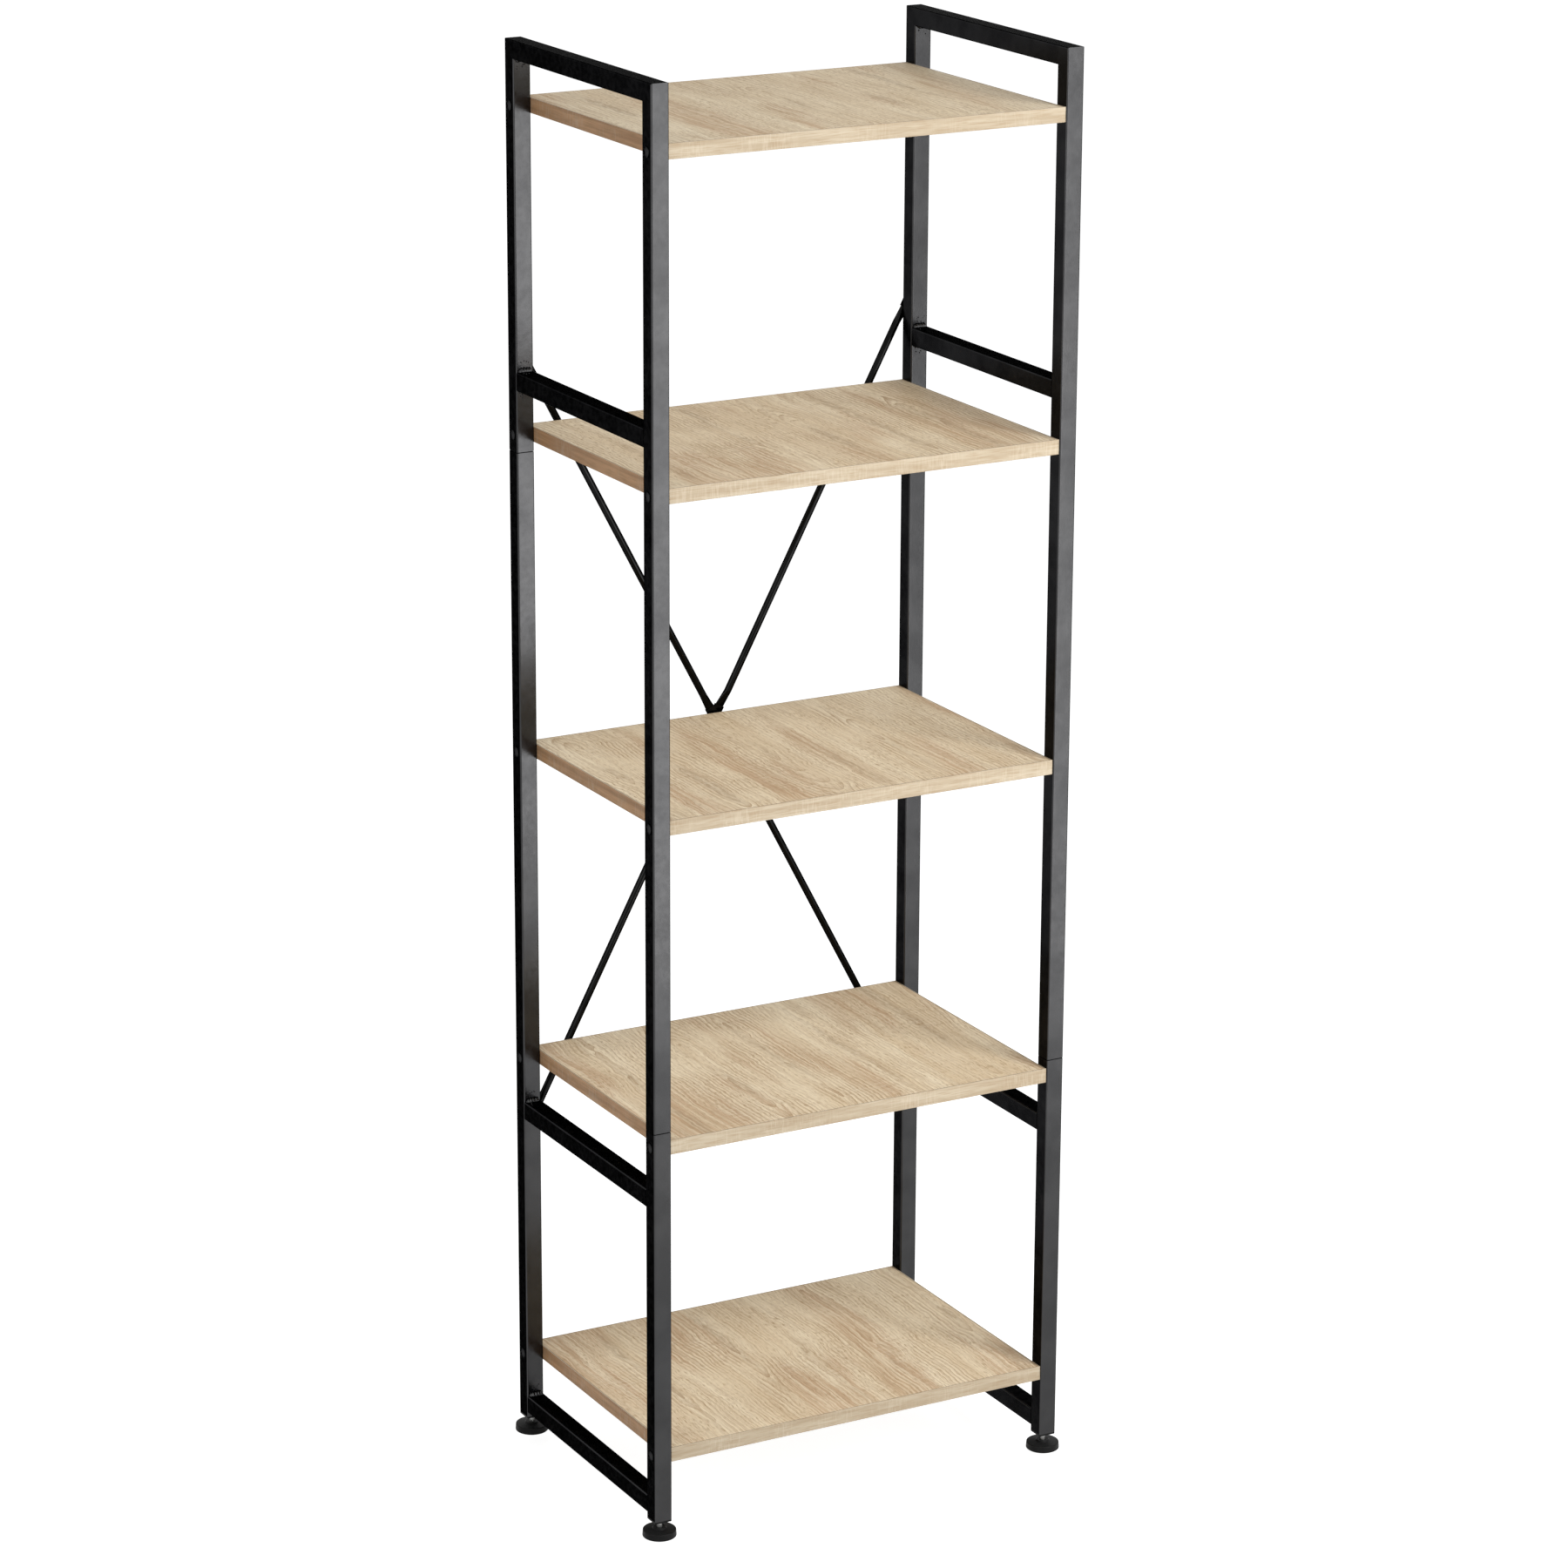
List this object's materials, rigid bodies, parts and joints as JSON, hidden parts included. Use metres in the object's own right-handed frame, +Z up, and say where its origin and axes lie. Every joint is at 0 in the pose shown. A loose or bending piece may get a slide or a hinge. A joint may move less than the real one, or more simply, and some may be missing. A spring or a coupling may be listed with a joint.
{
  "type": "shelving unit",
  "caption": "Free-standing open shelving unit: black square-tube side frames, wood-decor boards screwed between them, crossed rods on the back and screw-adjusted feet.",
  "frame": {"origin": "on the floor under the middle of the unit", "axes": "+X to the right seen from the front, +Y to the back where the crossed rods are, +Z up"},
  "size_m": [0.5168, 0.3499, 1.563],
  "materials": {
    "powder_coat": "fine satin black powder coat on steel tube",
    "oak_decor": "satin light oak decor on particle board, grain from front to back",
    "oak_edge": "satin light oak edge band, grain along the edge",
    "zinc": "bright zinc plate",
    "black_screw": "black oxide screw",
    "black_plastic": "moulded black plastic"
  },
  "bodies": {
    "frame": {"left_upper_front_post": "powder_coat", "left_lower_front_post": "powder_coat", "left_front_sleeve": "zinc", "left_upper_rear_post": "powder_coat", "left_lower_rear_post": "powder_coat", "left_rear_sleeve": "zinc", "left_top_rail": "powder_coat", "left_upper_cross_rail": "powder_coat", "left_lower_cross_rail": "powder_coat", "left_bottom_rail": "powder_coat", "left_upper_frame_welds": "powder_coat", "left_lower_frame_welds": "powder_coat", "right_upper_front_post": "powder_coat", "right_lower_front_post": "powder_coat", "right_front_sleeve": "zinc", "right_upper_rear_post": "powder_coat", "right_lower_rear_post": "powder_coat", "right_rear_sleeve": "zinc", "right_top_rail": "powder_coat", "right_upper_cross_rail": "powder_coat", "right_lower_cross_rail": "powder_coat", "right_bottom_rail": "powder_coat", "right_upper_frame_welds": "powder_coat", "right_lower_frame_welds": "powder_coat", "bottom_shelf_board": "oak_decor", "bottom_shelf_edge_bands": "oak_edge", "bottom_shelf_screws": "black_screw", "lower_shelf_board": "oak_decor", "lower_shelf_edge_bands": "oak_edge", "lower_shelf_screws": "black_screw", "middle_shelf_board": "oak_decor", "middle_shelf_edge_bands": "oak_edge", "middle_shelf_screws": "black_screw", "upper_shelf_board": "oak_decor", "upper_shelf_edge_bands": "oak_edge", "upper_shelf_screws": "black_screw", "top_shelf_board": "oak_decor", "top_shelf_edge_bands": "oak_edge", "top_shelf_screws": "black_screw", "shelf_inserts": "zinc", "brace_front_rod": "powder_coat", "brace_rear_rod": "powder_coat", "brace_rivet": "black_screw", "brace_screws": "black_screw", "brace_rivet_nuts": "zinc", "front_left_foot_plug": "black_plastic", "front_right_foot_plug": "black_plastic", "rear_left_foot_plug": "black_plastic", "rear_right_foot_plug": "black_plastic"},
    "front_left_pad": {"front_left_foot_pad": "black_plastic"},
    "front_left_stud": {"front_left_foot_stud": "zinc"},
    "front_right_pad": {"front_right_foot_pad": "black_plastic"},
    "front_right_stud": {"front_right_foot_stud": "zinc"},
    "rear_left_pad": {"rear_left_foot_pad": "black_plastic"},
    "rear_left_stud": {"rear_left_foot_stud": "zinc"},
    "rear_right_pad": {"rear_right_foot_pad": "black_plastic"},
    "rear_right_stud": {"rear_right_foot_stud": "zinc"}
  },
  "joints": [
    {"name": "front_left_foot_level", "type": "slide", "parent": "frame", "child": "front_left_pad", "axis": [0, 0, -1], "range_m": [0, 0.015]},
    {"name": "front_left_stud_turn", "type": "hinge", "parent": "front_left_pad", "child": "front_left_stud", "pos_m": [-0.24, -0.155, 0.018], "axis": [0, 0, -1], "range_deg": [0, 5400]},
    {"name": "front_right_foot_level", "type": "slide", "parent": "frame", "child": "front_right_pad", "axis": [0, 0, -1], "range_m": [0, 0.015]},
    {"name": "front_right_stud_turn", "type": "hinge", "parent": "front_right_pad", "child": "front_right_stud", "pos_m": [0.24, -0.155, 0.018], "axis": [0, 0, -1], "range_deg": [0, 5400]},
    {"name": "rear_left_foot_level", "type": "slide", "parent": "frame", "child": "rear_left_pad", "axis": [0, 0, -1], "range_m": [0, 0.015]},
    {"name": "rear_left_stud_turn", "type": "hinge", "parent": "rear_left_pad", "child": "rear_left_stud", "pos_m": [-0.24, 0.155, 0.018], "axis": [0, 0, -1], "range_deg": [0, 5400]},
    {"name": "rear_right_foot_level", "type": "slide", "parent": "frame", "child": "rear_right_pad", "axis": [0, 0, -1], "range_m": [0, 0.015]},
    {"name": "rear_right_stud_turn", "type": "hinge", "parent": "rear_right_pad", "child": "rear_right_stud", "pos_m": [0.24, 0.155, 0.018], "axis": [0, 0, -1], "range_deg": [0, 5400]}
  ],
  "couplings": [
    {"joint": "front_left_stud_turn", "follows": "front_left_foot_level", "rad_per_m": 6283.2},
    {"joint": "front_right_stud_turn", "follows": "front_right_foot_level", "rad_per_m": 6283.2},
    {"joint": "rear_left_stud_turn", "follows": "rear_left_foot_level", "rad_per_m": 6283.2},
    {"joint": "rear_right_stud_turn", "follows": "rear_right_foot_level", "rad_per_m": 6283.2}
  ]
}
